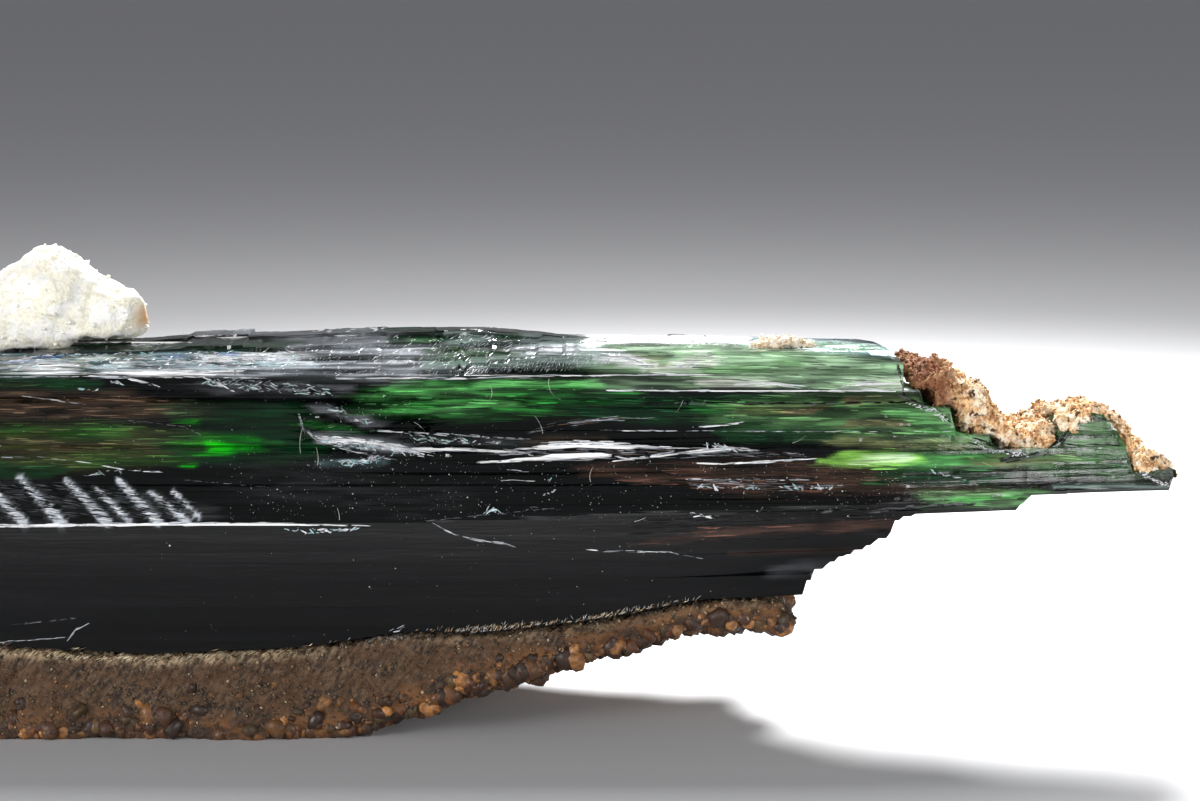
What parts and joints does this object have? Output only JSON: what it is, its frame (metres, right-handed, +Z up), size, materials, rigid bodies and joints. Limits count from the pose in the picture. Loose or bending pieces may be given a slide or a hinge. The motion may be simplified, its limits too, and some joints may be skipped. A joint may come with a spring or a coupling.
{
  "type": "vivianite specimen",
  "caption": "Elongate layered dark green to black vivianite crystal mass lying on a sandy brown crust, with tan clay on its broken end and top.",
  "frame": {"origin": "on the surface that the specimen rests on, below the middle of its length and depth", "axes": "+X along the crystal towards its tapered, broken end, +Y to its back, +Z up, away from the sandy crust"},
  "size_m": [0.0729, 0.0209, 0.024],
  "materials": {
    "vivianite": "glassy, dark green and nearly opaque",
    "sandy_crust": "rough, granular",
    "clay": "dull, crumbly"
  },
  "bodies": {
    "root": {"vivianite_crystal": "vivianite", "sandy_matrix": "sandy_crust", "clay_crust": "clay", "clay_lump": "clay", "clay_patch": "clay"}
  },
  "joints": []
}
